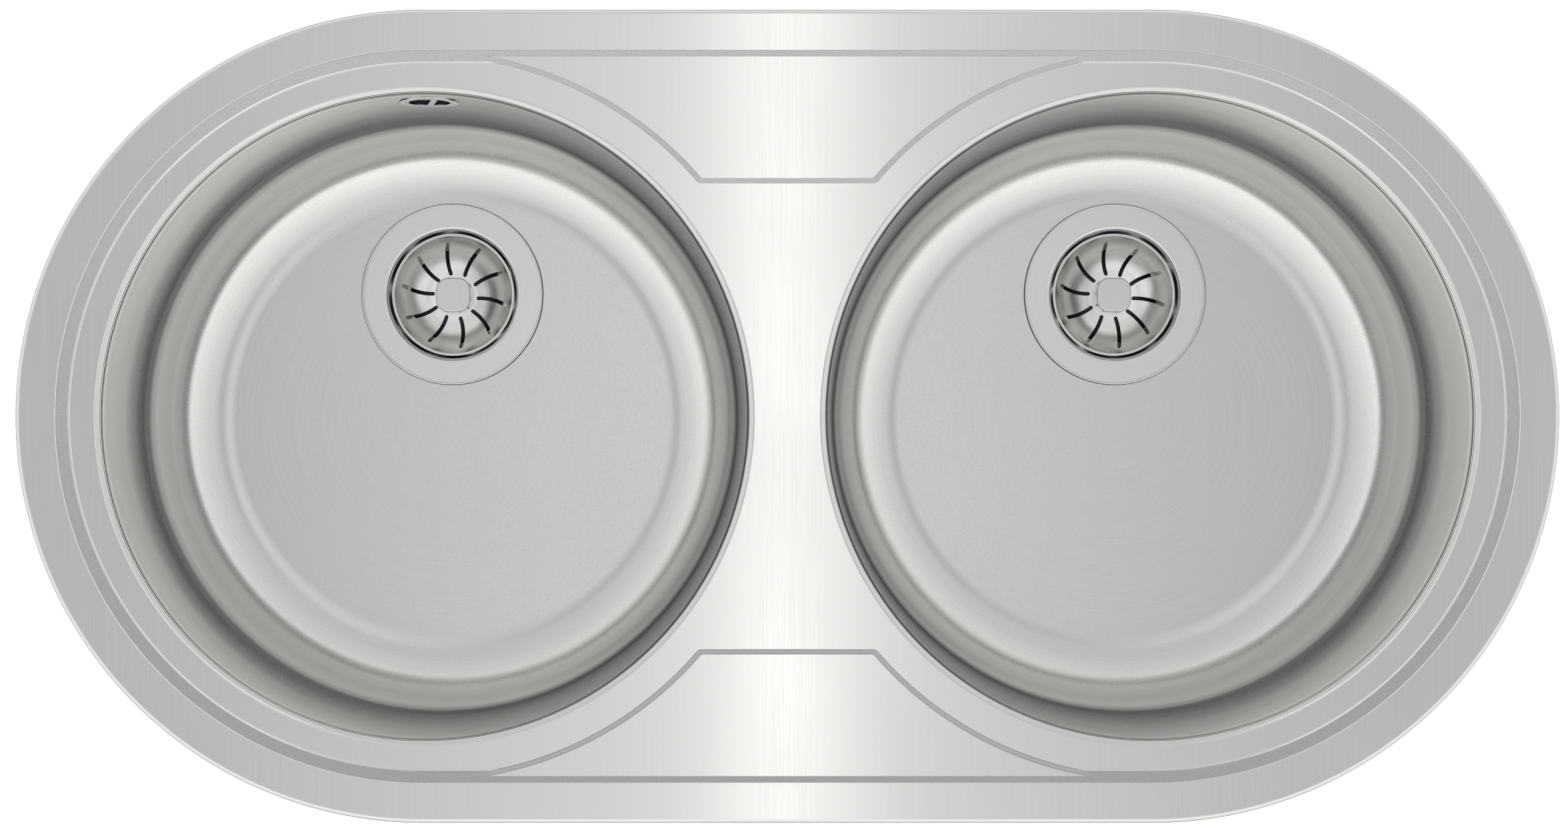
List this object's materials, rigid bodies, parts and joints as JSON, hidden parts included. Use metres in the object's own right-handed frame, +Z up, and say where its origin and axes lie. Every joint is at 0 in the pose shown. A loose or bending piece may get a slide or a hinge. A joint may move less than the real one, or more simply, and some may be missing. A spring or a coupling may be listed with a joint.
{
  "type": "double bowl kitchen sink",
  "caption": "Inset stainless steel kitchen sink with rounded ends, two round bowls, basket strainer wastes, an overflow and clips that clamp it to a worktop.",
  "frame": {"origin": "middle of the sink on the worktop plane, which the rim's folded edge and seal rest on", "axes": "+X to the right along the two bowls, +Y to the back where the wastes and the overflow are, +Z up out of the bowls"},
  "size_m": [0.835, 0.44, 0.2416],
  "materials": {
    "deck_steel": "stainless steel sheet, fine satin grain that runs from front to back",
    "bowl_steel": "stainless steel sheet, soft micro-textured satin",
    "flange_steel": "satin pressed stainless steel",
    "basket_steel": "brighter satin pressed stainless steel",
    "knob_steel": "satin stainless steel with polished edges",
    "screw_steel": "plain bright steel",
    "clip_steel": "bright zinc-plated steel",
    "black_rubber": "matt black rubber",
    "seal_foam": "closed-cell foam strip",
    "sound_pad": "self-adhesive sound-deadening pad, faintly grained",
    "white_plastic": "moulded white polypropylene",
    "hose_plastic": "ribbed light grey hose"
  },
  "bodies": {
    "sink": {"deck_panel": "deck_steel", "rim_seal": "seal_foam", "left_bowl": "bowl_steel", "right_bowl": "bowl_steel", "left_sound_pad": "sound_pad", "right_sound_pad": "sound_pad", "left_waste_flange": "flange_steel", "left_flange_seal": "black_rubber", "left_body_seal": "black_rubber", "left_waste_body": "white_plastic", "right_waste_flange": "flange_steel", "right_flange_seal": "black_rubber", "right_body_seal": "black_rubber", "right_waste_body": "white_plastic", "overflow_rosette": "flange_steel", "overflow_screws": "screw_steel", "overflow_seal": "black_rubber", "overflow_elbow": "white_plastic", "overflow_hose": "hose_plastic", "overflow_hose_nuts": "white_plastic", "clip_brackets": "clip_steel", "left_fixing_screw": "screw_steel", "right_fixing_screw": "screw_steel"},
    "left_plug": {"left_basket_stopper": "black_rubber", "left_basket_stem": "screw_steel"},
    "left_strainer": {"left_basket": "basket_steel", "left_basket_knob": "knob_steel"},
    "right_plug": {"right_basket_stopper": "black_rubber", "right_basket_stem": "screw_steel"},
    "right_strainer": {"right_basket": "basket_steel", "right_basket_knob": "knob_steel"},
    "front_clip_carrier": {"front_clip_washer": "clip_steel"},
    "front_clip_driver": {"front_clip_screw": "screw_steel"},
    "front_clip_arm": {"front_clip_claw": "clip_steel"},
    "back_clip_carrier": {"back_clip_washer": "clip_steel"},
    "back_clip_driver": {"back_clip_screw": "screw_steel"},
    "back_clip_arm": {"back_clip_claw": "clip_steel"},
    "right_front_clip_carrier": {"right_front_clip_washer": "clip_steel"},
    "right_front_clip_driver": {"right_front_clip_screw": "screw_steel"},
    "right_front_clip_arm": {"right_front_clip_claw": "clip_steel"},
    "right_back_clip_carrier": {"right_back_clip_washer": "clip_steel"},
    "right_back_clip_driver": {"right_back_clip_screw": "screw_steel"},
    "right_back_clip_arm": {"right_back_clip_claw": "clip_steel"},
    "left_front_clip_carrier": {"left_front_clip_washer": "clip_steel"},
    "left_front_clip_driver": {"left_front_clip_screw": "screw_steel"},
    "left_front_clip_arm": {"left_front_clip_claw": "clip_steel"},
    "left_back_clip_carrier": {"left_back_clip_washer": "clip_steel"},
    "left_back_clip_driver": {"left_back_clip_screw": "screw_steel"},
    "left_back_clip_arm": {"left_back_clip_claw": "clip_steel"}
  },
  "joints": [
    {"name": "left_basket_lift", "type": "slide", "parent": "sink", "child": "left_plug", "axis": [0, 0, 1], "range_m": [0, 0.21]},
    {"name": "left_basket_turn", "type": "hinge", "parent": "left_plug", "child": "left_strainer", "pos_m": [-0.1965, 0.0737, -0.178], "axis": [0, 0, 1], "continuous": true},
    {"name": "right_basket_lift", "type": "slide", "parent": "sink", "child": "right_plug", "axis": [0, 0, 1], "range_m": [0, 0.21]},
    {"name": "right_basket_turn", "type": "hinge", "parent": "right_plug", "child": "right_strainer", "pos_m": [0.1965, 0.0737, -0.178], "axis": [0, 0, 1], "continuous": true},
    {"name": "front_clip_lift", "type": "slide", "parent": "sink", "child": "front_clip_carrier", "axis": [0, 0, 1], "range_m": [0, 0.018]},
    {"name": "front_clip_screw_turn", "type": "hinge", "parent": "front_clip_carrier", "child": "front_clip_driver", "pos_m": [0, -0.191, -0.065], "axis": [0, 0, 1], "range_deg": [0, 8100]},
    {"name": "front_clip_claw_swing", "type": "hinge", "parent": "front_clip_carrier", "child": "front_clip_arm", "pos_m": [0, -0.191, -0.065], "axis": [0, 0, 1], "range_deg": [-90, 0]},
    {"name": "back_clip_lift", "type": "slide", "parent": "sink", "child": "back_clip_carrier", "axis": [0, 0, 1], "range_m": [0, 0.018]},
    {"name": "back_clip_screw_turn", "type": "hinge", "parent": "back_clip_carrier", "child": "back_clip_driver", "pos_m": [0, 0.191, -0.065], "axis": [0, 0, 1], "range_deg": [0, 8100]},
    {"name": "back_clip_claw_swing", "type": "hinge", "parent": "back_clip_carrier", "child": "back_clip_arm", "pos_m": [0, 0.191, -0.065], "axis": [0, 0, 1], "range_deg": [-90, 0]},
    {"name": "right_front_clip_lift", "type": "slide", "parent": "sink", "child": "right_front_clip_carrier", "axis": [0, 0, 1], "range_m": [0, 0.018]},
    {"name": "right_front_clip_screw_turn", "type": "hinge", "parent": "right_front_clip_carrier", "child": "right_front_clip_driver", "pos_m": [0.33256, -0.13506, -0.065], "axis": [0, 0, 1], "range_deg": [0, 8100]},
    {"name": "right_front_clip_claw_swing", "type": "hinge", "parent": "right_front_clip_carrier", "child": "right_front_clip_arm", "pos_m": [0.33256, -0.13506, -0.065], "axis": [0, 0, 1], "range_deg": [-90, 0]},
    {"name": "right_back_clip_lift", "type": "slide", "parent": "sink", "child": "right_back_clip_carrier", "axis": [0, 0, 1], "range_m": [0, 0.018]},
    {"name": "right_back_clip_screw_turn", "type": "hinge", "parent": "right_back_clip_carrier", "child": "right_back_clip_driver", "pos_m": [0.33256, 0.13506, -0.065], "axis": [0, 0, 1], "range_deg": [0, 8100]},
    {"name": "right_back_clip_claw_swing", "type": "hinge", "parent": "right_back_clip_carrier", "child": "right_back_clip_arm", "pos_m": [0.33256, 0.13506, -0.065], "axis": [0, 0, 1], "range_deg": [-90, 0]},
    {"name": "left_front_clip_lift", "type": "slide", "parent": "sink", "child": "left_front_clip_carrier", "axis": [0, 0, 1], "range_m": [0, 0.018]},
    {"name": "left_front_clip_screw_turn", "type": "hinge", "parent": "left_front_clip_carrier", "child": "left_front_clip_driver", "pos_m": [-0.33256, -0.13506, -0.065], "axis": [0, 0, 1], "range_deg": [0, 8100]},
    {"name": "left_front_clip_claw_swing", "type": "hinge", "parent": "left_front_clip_carrier", "child": "left_front_clip_arm", "pos_m": [-0.33256, -0.13506, -0.065], "axis": [0, 0, 1], "range_deg": [-90, 0]},
    {"name": "left_back_clip_lift", "type": "slide", "parent": "sink", "child": "left_back_clip_carrier", "axis": [0, 0, 1], "range_m": [0, 0.018]},
    {"name": "left_back_clip_screw_turn", "type": "hinge", "parent": "left_back_clip_carrier", "child": "left_back_clip_driver", "pos_m": [-0.33256, 0.13506, -0.065], "axis": [0, 0, 1], "range_deg": [0, 8100]},
    {"name": "left_back_clip_claw_swing", "type": "hinge", "parent": "left_back_clip_carrier", "child": "left_back_clip_arm", "pos_m": [-0.33256, 0.13506, -0.065], "axis": [0, 0, 1], "range_deg": [-90, 0]}
  ],
  "couplings": [
    {"joint": "front_clip_screw_turn", "follows": "front_clip_lift", "rad_per_m": 7854},
    {"joint": "back_clip_screw_turn", "follows": "back_clip_lift", "rad_per_m": 7854},
    {"joint": "right_front_clip_screw_turn", "follows": "right_front_clip_lift", "rad_per_m": 7854},
    {"joint": "right_back_clip_screw_turn", "follows": "right_back_clip_lift", "rad_per_m": 7854},
    {"joint": "left_front_clip_screw_turn", "follows": "left_front_clip_lift", "rad_per_m": 7854},
    {"joint": "left_back_clip_screw_turn", "follows": "left_back_clip_lift", "rad_per_m": 7854}
  ]
}
